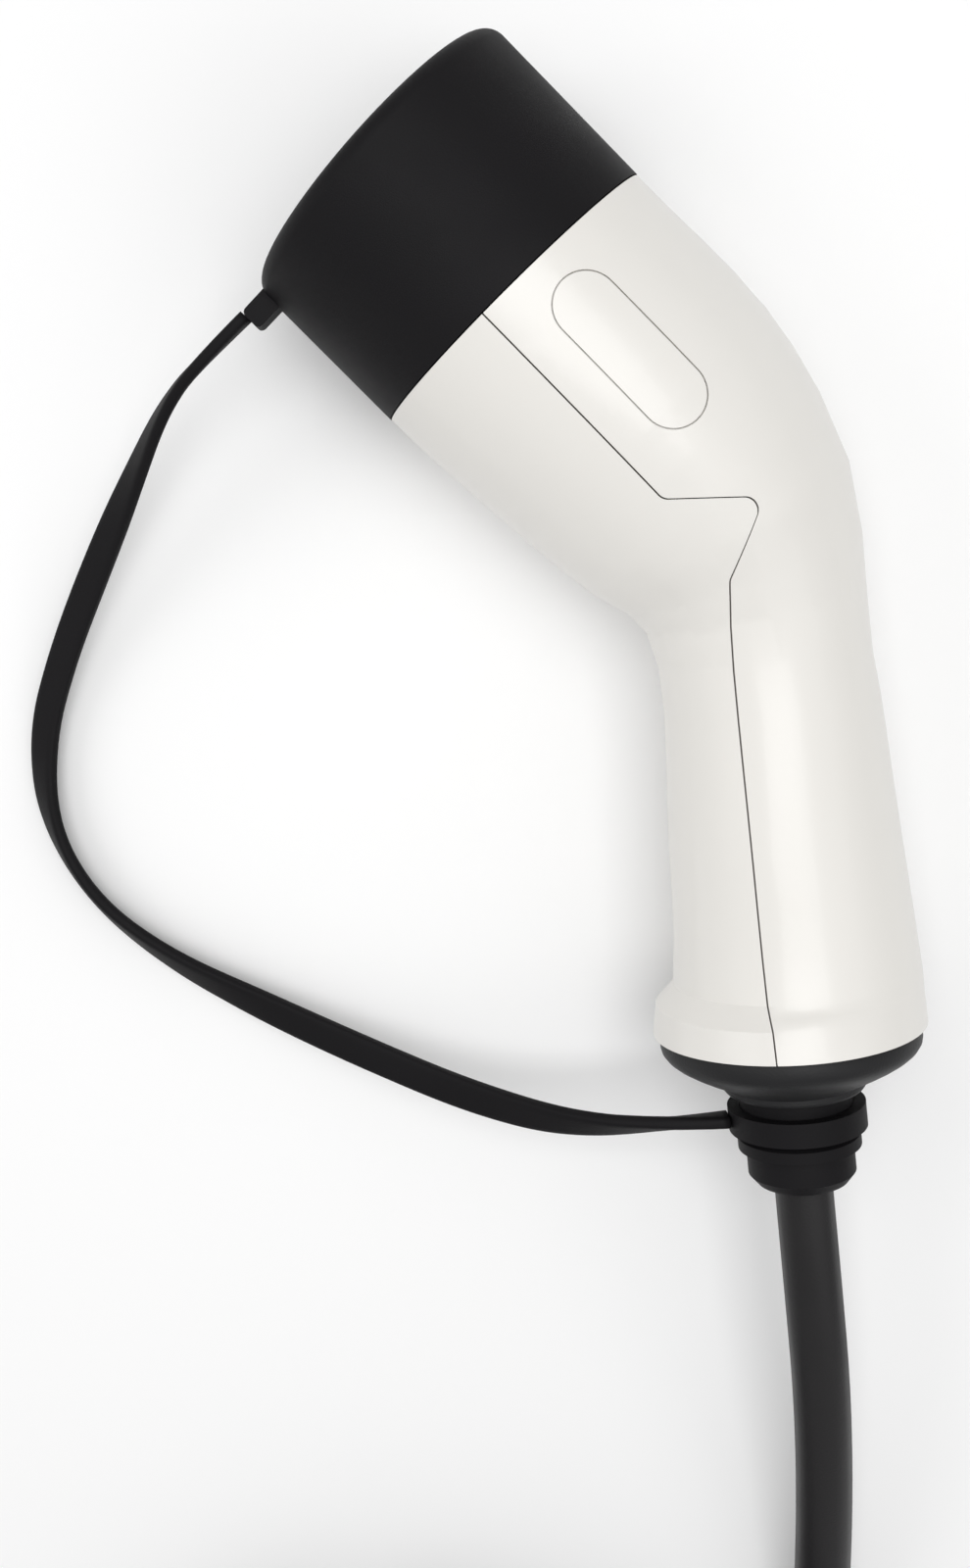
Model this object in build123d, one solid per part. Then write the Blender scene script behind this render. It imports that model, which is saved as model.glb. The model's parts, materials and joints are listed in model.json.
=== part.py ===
from build123d import *
import math
import os

# Type 2 vehicle connector with a tethered cable, lying on its side.
# Working frame: X is the mating direction of the nose, Y points to the underside of the head, and Z
# is up, across the two halves of the handle. The rim where head and cap meet is at X = 0. At the end
# every piece moves so that the origin is under the middle of the plug, on the surface it lies on.

# ---- housing, in mm ----
WALL = 2.6
HEAD_RADIUS = 33.4
HEAD_PARALLEL = 6.0
HEAD_MID_RADIUS = 32.6
HEAD_MID_OFFSET = -1.0
HEAD_BACK_RADIUS = 30.6
HEAD_BACK_OFFSET = -0.6
HEAD_LENGTH = 51.0
BEND_ANGLE = 39.2
BEND_SPINE_RADIUS = 46.0
BEND_FIRST_RADIUS = 27.0
BEND_FIRST_OFFSET = 0.9
BEND_SECOND_RADIUS = 23.4
BEND_SECOND_OFFSET = 1.4
NECK_RADIUS = 21.0
NECK_OFFSET = 1.1
GRIP_TOP_RADIUS = 20.8
GRIP_MID_RADIUS = 22.2
GRIP_END_RADIUS = 24.0
GRIP_LENGTH = 67.0
GRIP_DEPTH_SHARE = 0.95
FOOT_HEIGHT = 9.6
FOOT_RADIUS = 26.4
FOOT_OFFSET = 2.4
SEAM_OFFSET = 9.5
SEAM_GAP = 0.3
SEAM_PEAK_RISE = 13.5
SEAM_CORNER_RADIUS = 2.5
SECTION_STEP = 9.0
RIB_THICKNESS = 2.6
RIB_HEIGHT = 4.0

# ---- side badge ----
BADGE_LENGTH = 34.6
BADGE_WIDTH = 12.8
BADGE_CENTRE_X = -22.8
BADGE_CENTRE_Y = -4.8
BADGE_THICKNESS = 1.0
BADGE_GAP = 0.3

# ---- nose, contacts and retainer ----
NOSE_RADIUS = 30.4
NOSE_LENGTH = 35.6
NOSE_ROOT = 13.0
NOSE_ROOT_RADIUS = 29.7
NOSE_FLAT = 24.3
NOSE_WALL = 2.6
NOSE_DEPTH = 23.0
NOSE_FLOOR = 4.0
TOWER_RECESS = 1.5
POWER_TOWER_RADIUS = 6.4
SIGNAL_TOWER_RADIUS = 4.4
POWER_ROW_Z = 17.0
LOWER_ROW_Y = 14.8
LOWER_ROW_Z = 9.1
SIGNAL_ROW_Y = -12.6
SIGNAL_ROW_Z = 8.0
POWER_PIN_RADIUS = 3.0
SIGNAL_PIN_RADIUS = 1.5
PIN_CLEARANCE = 0.05
CONTACT_WALL = 0.9
CONTACT_DEPTH = 22.0
CONTACT_GAP = 0.15
CONTACT_SLOT = 0.6
TOWER_MOUTH_CLEARANCE = 0.25
TOWER_MOUTH_FLARE = 0.7
TOWER_BACK = 5.0
COLLAR_STEP = 1.3
COLLAR_THICKNESS = 2.4
CRIMP_LENGTH = 11.0
RETAINER_THICKNESS = 3.0
RETAINER_GAP = 0.3
RETAINER_SCREW_RADIUS = 1.5
RETAINER_SCREW_CIRCLE = 24.2
RETAINER_SCREW_HEAD = 2.8
RETAINER_SCREW_HEAD_HEIGHT = 1.9
SCREW_CLEARANCE = 0.1
BOSS_RADIUS = 3.4
SEAL_SECTION = 0.9
SEAL_GAP = 0.1
SEAL_SET_BACK = 5.0
RESISTOR_LENGTH = 6.5
RESISTOR_RADIUS = 1.2

# ---- cap and its strap ----
CAP_RADIUS = 33.5
CAP_FLARE = 0.3
CAP_WALL = 2.7
CAP_END = 3.0
CAP_LENGTH = 40.2
CAP_DOME = 1.4
CAP_EDGE_RADIUS = 3.6
CAP_RIM_GAP = 0.3
CAP_BEAD = 0.25
STRAP_WIDTH = 6.7
STRAP_THICKNESS = 2.6
STRAP_TUBE_RADIUS = 2.3
STRAP_LUG_LENGTH = 7.0
RING_HEIGHT = 4.6
RING_SET_BACK = 2.5
RING_WALL = 2.3

# ---- collar, gland and cable ----
COLLAR_RADIUS = 25.2
COLLAR_SIDE = 4.2
COLLAR_DOME = 8.2
COLLAR_TOP_RADIUS = 13.0
COLLAR_WALL = 2.6
COLLAR_PLUG = 6.0
GLAND_NECK_RADIUS = 10.9
GLAND_RIB_RADIUS = 11.9
GLAND_LOBE_RADIUS = 10.4
GLAND_MOUTH_RADIUS = 6.6
GLAND_NECK = 8.0
GLAND_RIB = 3.2
GLAND_GROOVE = 1.1
GLAND_LOBE = 6.2
GLAND_ROOT = 17.0
CABLE_DIAMETER = 11.4
CABLE_GAP = 0.15
CORE_DIAMETER = 3.6
SIGNAL_CORE_DIAMETER = 2.0
CLAMP_WIDTH = 9.0
CLAMP_THICKNESS = 3.4
CLAMP_SPREAD = 8.6
CLAMP_SCREW_RADIUS = 1.5
CLAMP_SCREW_HEAD = 2.8
CLAMP_SCREW_HEAD_HEIGHT = 2.0
FLOOR_GAP = 0.1

os.makedirs("parts", exist_ok=True)

GRIP_CORNER = HEAD_LENGTH + BEND_SPINE_RADIUS * math.tan(math.radians(BEND_ANGLE / 2))
BEND_TANGENT = BEND_SPINE_RADIUS * math.tan(math.radians(BEND_ANGLE / 2))
BEND_LENGTH = BEND_SPINE_RADIUS * math.radians(BEND_ANGLE)
GRIP_DIRECTION = Vector(-math.cos(math.radians(BEND_ANGLE)), math.sin(math.radians(BEND_ANGLE)), 0)
FRONT_DIRECTION = Vector(math.sin(math.radians(BEND_ANGLE)), math.cos(math.radians(BEND_ANGLE)), 0)
BODY_LENGTH = HEAD_LENGTH + BEND_LENGTH + GRIP_LENGTH
FOOT_START = BEND_TANGENT + GRIP_LENGTH
FOOT_END = FOOT_START + FOOT_HEIGHT


def spine_plane(distance):
    """Plane across the spine: its x points to the front of the handle, its normal to the nose."""
    if distance <= HEAD_LENGTH:
        return Plane(origin=(-distance, 0, 0), x_dir=(0, 1, 0), z_dir=(1, 0, 0))
    if distance <= HEAD_LENGTH + BEND_LENGTH:
        turn = (distance - HEAD_LENGTH) / BEND_SPINE_RADIUS
        point = Vector(-HEAD_LENGTH, BEND_SPINE_RADIUS, 0)
        point -= Vector(math.sin(turn), math.cos(turn), 0) * BEND_SPINE_RADIUS
        front = Vector(math.sin(turn), math.cos(turn), 0)
        return Plane(origin=point, x_dir=front, z_dir=(math.cos(turn), -math.sin(turn), 0))
    return grip_plane(distance - HEAD_LENGTH - BEND_LENGTH + BEND_TANGENT)


def grip_point(along, front=0.0, up=0.0):
    """Point in the working frame: along the grip axis from the corner of the spine, to its front, up."""
    return Vector(-GRIP_CORNER, 0, up) + GRIP_DIRECTION * along + FRONT_DIRECTION * front


def grip_plane(along, front=0.0):
    """Plane across the grip, with its normal towards the head."""
    return Plane(origin=grip_point(along, front), x_dir=FRONT_DIRECTION, z_dir=GRIP_DIRECTION * -1)


def down_plane(along, front=0.0):
    """Plane across the grip, with its normal towards the cable."""
    return Plane(origin=grip_point(along, front), x_dir=FRONT_DIRECTION, z_dir=GRIP_DIRECTION)


def oval(plane, half_height, half_depth, offset, inset):
    return plane * Pos(offset, 0, 0) * Ellipse(half_height - inset, half_depth - inset)


def stations():
    """The handle's section along its spine: distance from the rim, half height, half depth, shift."""
    bend = HEAD_LENGTH + BEND_LENGTH
    share = GRIP_DEPTH_SHARE
    return [
        (0.0, HEAD_RADIUS, HEAD_RADIUS, 0.0),
        (HEAD_PARALLEL, HEAD_RADIUS, HEAD_RADIUS, 0.0),
        (HEAD_LENGTH * 0.6, HEAD_MID_RADIUS, HEAD_MID_RADIUS, HEAD_MID_OFFSET),
        (HEAD_LENGTH * 0.92, HEAD_BACK_RADIUS, HEAD_BACK_RADIUS, HEAD_BACK_OFFSET),
        (HEAD_LENGTH + BEND_LENGTH / 3, BEND_FIRST_RADIUS, BEND_FIRST_RADIUS, BEND_FIRST_OFFSET),
        (bend - BEND_LENGTH / 3, BEND_SECOND_RADIUS, BEND_SECOND_RADIUS * (1 + share) / 2, BEND_SECOND_OFFSET),
        (bend, NECK_RADIUS, NECK_RADIUS * share, NECK_OFFSET),
        (bend + GRIP_LENGTH * 0.16, GRIP_TOP_RADIUS, GRIP_TOP_RADIUS * share, 0.0),
        (bend + GRIP_LENGTH * 0.55, GRIP_MID_RADIUS, GRIP_MID_RADIUS * share, 0.0),
        (bend + GRIP_LENGTH, GRIP_END_RADIUS, GRIP_END_RADIUS * share, 0.0),
        (bend + GRIP_LENGTH + FOOT_HEIGHT * 0.4, FOOT_RADIUS - 0.6, FOOT_RADIUS - 0.9, FOOT_OFFSET * 0.8),
        (bend + GRIP_LENGTH + FOOT_HEIGHT, FOOT_RADIUS, FOOT_RADIUS, FOOT_OFFSET),
    ]


def smooth_between(rows, distance):
    """Values of rows at a distance, eased by a cubic whose slopes follow the rows on either side."""
    k = max(i for i in range(len(rows) - 1) if rows[i][0] <= distance or i == 0)
    here, there = rows[k], rows[k + 1]
    before = rows[max(k - 1, 0)]
    after = rows[min(k + 2, len(rows) - 1)]
    span = there[0] - here[0]
    t = (distance - here[0]) / span
    values = []
    for a, b, c, d in zip(before[1:], here[1:], there[1:], after[1:]):
        slope_in = (c - a) / (there[0] - before[0]) * span
        slope_out = (d - b) / (after[0] - here[0]) * span
        values.append(
            b * (2 * t**3 - 3 * t**2 + 1)
            + slope_in * (t**3 - 2 * t**2 + t)
            + c * (3 * t**2 - 2 * t**3)
            + slope_out * (t**3 - t**2)
        )
    return values


def housing_form(inset):
    """The whole handle as one solid, drawn in by inset from the outer face."""
    rows = stations()
    count = round(rows[-3][0] / SECTION_STEP)
    places = [rows[-3][0] * k / count for k in range(count + 1)]
    places += [(rows[-3][0] + rows[-2][0]) / 2, rows[-2][0], rows[-1][0]]
    sections = []
    for distance in places[::-1]:
        half_height, half_depth, offset = smooth_between(rows, min(distance, rows[-1][0] - 1e-6))
        sections.append(oval(spine_plane(distance), half_height, half_depth, offset, inset))
    return loft(sections, ruled=True)


def seam_prism(shift):
    """Everything in front of the parting line, with the line moved by shift away from the front."""
    line = SEAM_OFFSET - shift
    peak = Vector(-HEAD_LENGTH - SEAM_PEAK_RISE * 0.55, line - SEAM_PEAK_RISE, 0)
    seam = FilletPolyline(
        Vector(HEAD_PARALLEL, line, 0),
        Vector(-HEAD_LENGTH * 0.9, line, 0),
        peak,
        grip_point(SEAM_CORNER_RADIUS * 2, line),
        grip_point(FOOT_END + HEAD_PARALLEL, line),
        radius=SEAM_CORNER_RADIUS,
    )
    far = HEAD_RADIUS * 2
    back = Polyline(
        grip_point(FOOT_END + HEAD_PARALLEL, line),
        grip_point(FOOT_END + HEAD_PARALLEL, far),
        Vector(HEAD_PARALLEL, far, 0),
        Vector(HEAD_PARALLEL, line, 0),
    )
    region = make_face(seam.edges() + back.edges())
    return extrude(region, amount=HEAD_RADIUS * 1.5, both=True)


def obround_prism(inset):
    """A prism with rounded ends above the mid-plane, over the badge's place on the head."""
    base = Plane.XY * Pos(BADGE_CENTRE_X, BADGE_CENTRE_Y, 0)
    outline = SlotOverall(BADGE_LENGTH - 2 * inset, BADGE_WIDTH - 2 * inset)
    return extrude(base * outline, amount=HEAD_RADIUS * 1.5)


def rod(plane, radius, length):
    return extrude(plane * Circle(radius), amount=length)


def nose_plane(x, y=0.0, z=0.0):
    """Plane across the nose at a place, with its normal along the mating direction."""
    return Plane(origin=(x, y, z), x_dir=(0, 1, 0), z_dir=(1, 0, 0))


# ---- housing shells and badge ----
OUTER = housing_form(0.0)
INNER = housing_form(WALL)
shell = OUTER - INNER
rib_slab = extrude(nose_plane(-NOSE_ROOT - SEAM_GAP - RIB_THICKNESS) * Circle(HEAD_RADIUS * 1.2), amount=RIB_THICKNESS)
rib_hole = rod(nose_plane(-NOSE_ROOT - RIB_THICKNESS - 1.0), HEAD_RADIUS - WALL - RIB_HEIGHT, RIB_THICKNESS + 2.0)
shell = shell + ((INNER & rib_slab) - rib_hole)
badge_bed = OUTER - housing_form(BADGE_THICKNESS)
upper_shell = (shell - seam_prism(SEAM_GAP)) - (badge_bed & obround_prism(0.0))
lower_shell = shell & seam_prism(0.0)
badge_plate = (OUTER - housing_form(BADGE_THICKNESS - BADGE_GAP / 2)) & obround_prism(BADGE_GAP)

# ---- nose: a D-shaped shroud with seven towers on its floor ----
CONTACTS = {
    "pe": (0.0, 0.0, True),
    "n": (0.0, POWER_ROW_Z, True),
    "l1": (0.0, -POWER_ROW_Z, True),
    "l2": (LOWER_ROW_Y, -LOWER_ROW_Z, True),
    "l3": (LOWER_ROW_Y, LOWER_ROW_Z, True),
    "pp": (SIGNAL_ROW_Y, SIGNAL_ROW_Z, False),
    "cp": (SIGNAL_ROW_Y, -SIGNAL_ROW_Z, False),
}
EMPTY_TOWERS = ("l2", "l3")
FLOOR_FRONT = NOSE_LENGTH - NOSE_DEPTH
FLOOR_BACK = FLOOR_FRONT - NOSE_FLOOR
TOWER_TIP = NOSE_LENGTH - TOWER_RECESS
TOWER_REAR = FLOOR_BACK - TOWER_BACK
CONTACT_TIP = TOWER_TIP - COLLAR_STEP
RETAINER_FRONT = TOWER_REAR - COLLAR_THICKNESS - RETAINER_GAP


def d_outline(inset):
    """The nose's section: a circle with a flat on the side away from the handle's front."""
    round_part = Circle(NOSE_RADIUS - inset)
    cut = Pos(-NOSE_FLAT + inset - NOSE_RADIUS, 0, 0) * Rectangle(2 * NOSE_RADIUS, 4 * NOSE_RADIUS)
    return round_part - cut


def contact_radius(power):
    return (POWER_PIN_RADIUS if power else SIGNAL_PIN_RADIUS) + PIN_CLEARANCE + CONTACT_WALL


def screw_places():
    """The three retainer screws, as Y and Z across the nose."""
    return [
        (RETAINER_SCREW_CIRCLE * math.cos(angle), RETAINER_SCREW_CIRCLE * math.sin(angle))
        for angle in (0.0, math.radians(122), math.radians(-122))
    ]


def tower_radius(power):
    return POWER_TOWER_RADIUS if power else SIGNAL_TOWER_RADIUS


def tower_bore(name):
    """What is cut from a tower: a contact's bore with a tapered lead-in, or a blind well where no contact is fitted."""
    y, z, power = CONTACTS[name]
    if name in EMPTY_TOWERS:
        return rod(nose_plane(CONTACT_TIP - CONTACT_DEPTH, y, z), POWER_PIN_RADIUS + 1.0, CONTACT_DEPTH + 5.0)
    bore = contact_radius(power) + CONTACT_GAP
    length = CONTACT_TIP - TOWER_REAR + 1.0 + CONTACT_GAP
    mouth = (POWER_PIN_RADIUS if power else SIGNAL_PIN_RADIUS) + TOWER_MOUTH_CLEARANCE
    lead_in = Cone(mouth, mouth + TOWER_MOUTH_FLARE, COLLAR_STEP, align=(Align.CENTER, Align.CENTER, Align.MIN))
    return rod(nose_plane(TOWER_REAR - 1.0, y, z), bore, length) + nose_plane(CONTACT_TIP, y, z) * lead_in


def screw_hole(y, z):
    return rod(nose_plane(RETAINER_FRONT - 1.0, y, z), RETAINER_SCREW_RADIUS + SCREW_CLEARANCE, 9.0)


def make_nose():
    """The shroud, its root inside the housing, and the floor that the towers stand on."""
    nose = rod(nose_plane(-NOSE_ROOT), NOSE_ROOT_RADIUS, NOSE_ROOT)
    nose += extrude(nose_plane(0) * d_outline(0.0), amount=NOSE_LENGTH)
    nose -= extrude(nose_plane(FLOOR_FRONT) * d_outline(NOSE_WALL), amount=NOSE_DEPTH + 1.0)
    nose -= extrude(nose_plane(0) * d_outline(NOSE_WALL), amount=FLOOR_BACK)
    nose -= rod(nose_plane(-NOSE_ROOT - 1.0), NOSE_RADIUS - NOSE_WALL, NOSE_ROOT + 1.0)
    for name in CONTACTS:
        nose -= tower_bore(name)
    for y, z in screw_places():
        nose -= screw_hole(y, z)
    groove_width = 2 * SEAL_SECTION + 4 * SEAL_GAP
    groove = rod(nose_plane(-SEAL_SET_BACK - groove_width / 2), NOSE_RADIUS + 1.0, groove_width)
    groove -= rod(nose_plane(-SEAL_SET_BACK - groove_width), SEAL_CENTRE - SEAL_SECTION - SEAL_GAP, groove_width * 2)
    return nose - groove


def make_towers(back, front):
    """The length of every tower between two depths of the nose."""
    return [
        rod(nose_plane(back, y, z), tower_radius(power), front - back) - tower_bore(name)
        for name, (y, z, power) in CONTACTS.items()
    ]


def make_bosses():
    length = FLOOR_BACK - RETAINER_FRONT
    return [rod(nose_plane(RETAINER_FRONT, y, z), BOSS_RADIUS, length) - screw_hole(y, z) for y, z in screw_places()]


SEAL_CENTRE = HEAD_RADIUS - WALL - SEAL_GAP - SEAL_SECTION
nose = make_nose()
nose_towers = make_towers(FLOOR_FRONT, TOWER_TIP)
nose_stubs = make_towers(TOWER_REAR, FLOOR_BACK) + make_bosses()
nose_seal = Pos(-SEAL_SET_BACK, 0, 0) * Rot(0, 90, 0) * Torus(SEAL_CENTRE, SEAL_SECTION)


def make_contact(y, z, power):
    """A turned socket: slotted sleeve, collar that stops on the tower, and a crimp barrel behind."""
    outer = contact_radius(power)
    pin = (POWER_PIN_RADIUS if power else SIGNAL_PIN_RADIUS) + PIN_CLEARANCE
    barrel = outer * 0.85
    contact = rod(nose_plane(TOWER_REAR, y, z), outer, CONTACT_TIP - TOWER_REAR)
    contact += rod(nose_plane(TOWER_REAR - COLLAR_THICKNESS, y, z), outer + COLLAR_STEP, COLLAR_THICKNESS)
    contact += rod(nose_plane(TOWER_REAR - COLLAR_THICKNESS - CRIMP_LENGTH, y, z), barrel, CRIMP_LENGTH)
    contact -= rod(nose_plane(CONTACT_TIP - CONTACT_DEPTH, y, z), pin, CONTACT_DEPTH + 1.0)
    core = (CORE_DIAMETER if power else SIGNAL_CORE_DIAMETER) / 2 * 0.72
    crimp_back = TOWER_REAR - COLLAR_THICKNESS - CRIMP_LENGTH
    contact -= rod(nose_plane(crimp_back - 1.0, y, z), core + CABLE_GAP, CRIMP_LENGTH - 2.0)
    slot = Pos(CONTACT_TIP - CONTACT_DEPTH * 0.3, y, z) * Box(CONTACT_DEPTH * 0.6, CONTACT_SLOT, outer * 3)
    return contact - slot


contacts = {
    name: make_contact(*place) for name, place in CONTACTS.items() if name not in EMPTY_TOWERS
}

retainer_face = nose_plane(RETAINER_FRONT - RETAINER_THICKNESS) * d_outline(NOSE_WALL + RETAINER_GAP)
retainer = extrude(retainer_face, amount=RETAINER_THICKNESS)
for name, (y, z, power) in CONTACTS.items():
    if name not in EMPTY_TOWERS:
        retainer -= rod(
            nose_plane(RETAINER_FRONT - RETAINER_THICKNESS - 1.0, y, z),
            contact_radius(power) * 0.85 + RETAINER_GAP,
            RETAINER_THICKNESS + 2.0,
        )
retainer_screws = []
for y, z in screw_places():
    back = RETAINER_FRONT - RETAINER_THICKNESS
    hole = rod(nose_plane(back - 1.0, y, z), RETAINER_SCREW_RADIUS + SCREW_CLEARANCE, RETAINER_THICKNESS + 2.0)
    retainer -= hole
    screw = rod(nose_plane(back, y, z), RETAINER_SCREW_RADIUS, RETAINER_THICKNESS + 7.0)
    screw += rod(nose_plane(back - RETAINER_SCREW_HEAD_HEIGHT, y, z), RETAINER_SCREW_HEAD, RETAINER_SCREW_HEAD_HEIGHT)
    cross = Pos(back - RETAINER_SCREW_HEAD_HEIGHT, y, z) * Box(1.6, 0.8, 3.2)
    retainer_screws.append(screw - cross)

# ---- cap: a rubber cup over the nose, its strap and the strap's ring ----
CAP_TIP = CAP_RIM_GAP + CAP_LENGTH


def cap_profile():
    """Half section of the cap, for a turn about the mating axis."""
    inner = NOSE_RADIUS + CAP_RIM_GAP
    side = CAP_RADIUS + CAP_FLARE
    edge = CAP_EDGE_RADIUS
    outline = Polyline((CAP_RIM_GAP, inner), (CAP_RIM_GAP, CAP_RADIUS), (CAP_TIP - CAP_DOME - edge, side))
    reach = edge * math.sqrt(0.5)
    bulge = (CAP_TIP - CAP_DOME - edge + reach, side - edge + reach)
    corner = ThreePointArc(outline @ 1, bulge, (CAP_TIP - CAP_DOME, side - edge))
    ball = ((side - edge) ** 2 + CAP_DOME**2) / (2 * CAP_DOME)
    sag = ball - math.sqrt(ball**2 - ((side - edge) / 2) ** 2)
    dome = ThreePointArc(corner @ 1, (CAP_TIP - sag, (side - edge) / 2), (CAP_TIP, 0))
    inside = Polyline(dome @ 1, (CAP_TIP - CAP_END, 0), (CAP_TIP - CAP_END, inner), (CAP_RIM_GAP, inner))
    return make_face(outline.edges() + corner.edges() + dome.edges() + inside.edges())


cap = revolve(cap_profile(), Axis.X)
lug_place = Vector(CAP_TIP - CAP_EDGE_RADIUS - STRAP_THICKNESS, CAP_RADIUS - 1.0, 0)
lug = Pos(lug_place.X, lug_place.Y + STRAP_LUG_LENGTH / 2, 0) * Box(STRAP_THICKNESS * 2, STRAP_LUG_LENGTH, STRAP_WIDTH)
lug = fillet(lug.edges().filter_by(Axis.Z), STRAP_THICKNESS * 0.45)
cap = cap + (lug - rod(nose_plane(-1.0), CAP_RADIUS - 1.0, CAP_TIP + 2.0))

# ---- collar at the foot, gland and strap ring ----
COLLAR_FRONT = FOOT_END + SEAM_GAP
COLLAR_END = COLLAR_FRONT + COLLAR_SIDE + COLLAR_DOME


def turned(points, plane):
    """Turns a half section, given as distance down the grip and radius, about the grip's axis."""
    flat = Plane(origin=plane.origin, x_dir=GRIP_DIRECTION, z_dir=(0, 0, 1))
    return revolve(flat * make_face(Polyline(*points, points[0])), Axis(plane.origin, GRIP_DIRECTION))


def make_collar():
    start = down_plane(0.0, FOOT_OFFSET)
    side = COLLAR_FRONT + COLLAR_SIDE
    face = Plane(origin=start.origin, x_dir=GRIP_DIRECTION, z_dir=(0, 0, 1))
    bore = GLAND_NECK_RADIUS + CABLE_GAP
    outline = Polyline((COLLAR_FRONT, bore), (COLLAR_FRONT, COLLAR_RADIUS), (side, COLLAR_RADIUS))
    slope = EllipticalCenterArc((side, COLLAR_TOP_RADIUS), COLLAR_DOME, COLLAR_RADIUS - COLLAR_TOP_RADIUS, arc_size=90)
    rest = Polyline((COLLAR_END, COLLAR_TOP_RADIUS), (COLLAR_END, bore), (COLLAR_FRONT, bore))
    half = make_face(outline.edges() + slope.edges() + rest.edges())
    # the sketch axes run down the grip and across it
    collar = revolve(face * half, Axis(start.origin, GRIP_DIRECTION))
    plug_radius = FOOT_RADIUS - WALL - SEAM_GAP - 1.0
    plug = rod(down_plane(COLLAR_FRONT - COLLAR_PLUG, FOOT_OFFSET), plug_radius, COLLAR_PLUG)
    plug -= rod(down_plane(COLLAR_FRONT - COLLAR_PLUG - 1.0, FOOT_OFFSET), plug_radius - COLLAR_WALL, COLLAR_PLUG + 1.0)
    return collar + plug


base_collar = make_collar()
GLAND_RADIUS_IN = CABLE_DIAMETER / 2 + CABLE_GAP
RIB_START = COLLAR_END + GLAND_NECK
LOBE_START = RIB_START + GLAND_RIB + GLAND_GROOVE
GLAND_END = LOBE_START + GLAND_LOBE
GLAND_START = COLLAR_FRONT - GLAND_ROOT


def make_gland():
    neck = GLAND_NECK_RADIUS
    flange = neck + 3.0
    points = [
        (GLAND_START, GLAND_RADIUS_IN),
        (GLAND_START, neck),
        (COLLAR_FRONT - 4.0, neck),
        (COLLAR_FRONT - 4.0, flange),
        (COLLAR_FRONT - CABLE_GAP, flange),
        (COLLAR_FRONT - CABLE_GAP, neck),
        (RIB_START, neck),
        (RIB_START + 0.5, GLAND_RIB_RADIUS),
        (RIB_START + GLAND_RIB - 0.5, GLAND_RIB_RADIUS),
        (RIB_START + GLAND_RIB, neck - 0.6),
        (LOBE_START, neck - 0.6),
        (LOBE_START + 0.4, GLAND_LOBE_RADIUS),
        (LOBE_START + GLAND_LOBE * 0.55, GLAND_LOBE_RADIUS),
        (LOBE_START + GLAND_LOBE * 0.85, GLAND_LOBE_RADIUS * 0.85),
        (GLAND_END, GLAND_MOUTH_RADIUS),
        (GLAND_END, GLAND_RADIUS_IN),
    ]
    return turned(points, down_plane(0.0, FOOT_OFFSET))


gland = make_gland()
RING_START = COLLAR_END + RING_SET_BACK
ring_inner = GLAND_NECK_RADIUS + CABLE_GAP
strap_ring = rod(down_plane(RING_START, FOOT_OFFSET), ring_inner + RING_WALL, RING_HEIGHT)
strap_ring -= rod(down_plane(RING_START - 1.0, FOOT_OFFSET), ring_inner, RING_HEIGHT + 2.0)

# ---- cable clamp and cores inside the handle ----
CLAMP_PLACE = GLAND_START - CLAMP_WIDTH


def make_clamp(side):
    """Half of the saddle that grips the jacket: side is 1 at the front and -1 at the back."""
    plane = down_plane(CLAMP_PLACE, FOOT_OFFSET)
    block = Pos(side * (GLAND_RADIUS_IN / 2 + CLAMP_THICKNESS / 2 + 0.25), 0, 0)
    block = block * Rectangle(GLAND_RADIUS_IN + CLAMP_THICKNESS - 0.5, 2 * CLAMP_SPREAD + 6.0)
    half = extrude(plane * (block - Circle(GLAND_RADIUS_IN)), amount=CLAMP_WIDTH - 2.0)
    for z in (-CLAMP_SPREAD, CLAMP_SPREAD):
        centre = grip_point(CLAMP_PLACE + CLAMP_WIDTH / 2 - 1.0, FOOT_OFFSET, z)
        drill = Plane(origin=centre, x_dir=(0, 0, 1), z_dir=FRONT_DIRECTION)
        half -= extrude(drill * Circle(CLAMP_SCREW_RADIUS + SCREW_CLEARANCE), amount=20.0, both=True)
    return half


clamp_front = make_clamp(1)
clamp_back = make_clamp(-1)
clamp_screws = []
for z in (-CLAMP_SPREAD, CLAMP_SPREAD):
    reach = GLAND_RADIUS_IN + CLAMP_THICKNESS
    centre = grip_point(CLAMP_PLACE + CLAMP_WIDTH / 2 - 1.0, FOOT_OFFSET - reach + 1.0, z)
    plane = Plane(origin=centre, x_dir=(0, 0, 1), z_dir=FRONT_DIRECTION)
    screw = extrude(plane * Circle(CLAMP_SCREW_RADIUS), amount=2 * reach - 1.0)
    head = Plane(origin=centre + FRONT_DIRECTION * (2 * reach - 1.0), x_dir=(0, 0, 1), z_dir=FRONT_DIRECTION)
    screw += extrude(head * Circle(CLAMP_SCREW_HEAD), amount=CLAMP_SCREW_HEAD_HEIGHT)
    clamp_screws.append(screw)


def solids_of(shapes):
    """One node of several separate solids."""
    return Compound([shape.solid() for shape in shapes])


# ---- cores inside the handle ----
JACKET_START = CLAMP_PLACE - 3.0
CRIMP_BACK = TOWER_REAR - COLLAR_THICKNESS - CRIMP_LENGTH
CORE_PLACES = {
    "pe": (2.3, 0.0),
    "n": (-1.2, 2.2),
    "l1": (-1.2, -2.2),
    "cp": (-4.3, 0.0),
}


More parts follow.
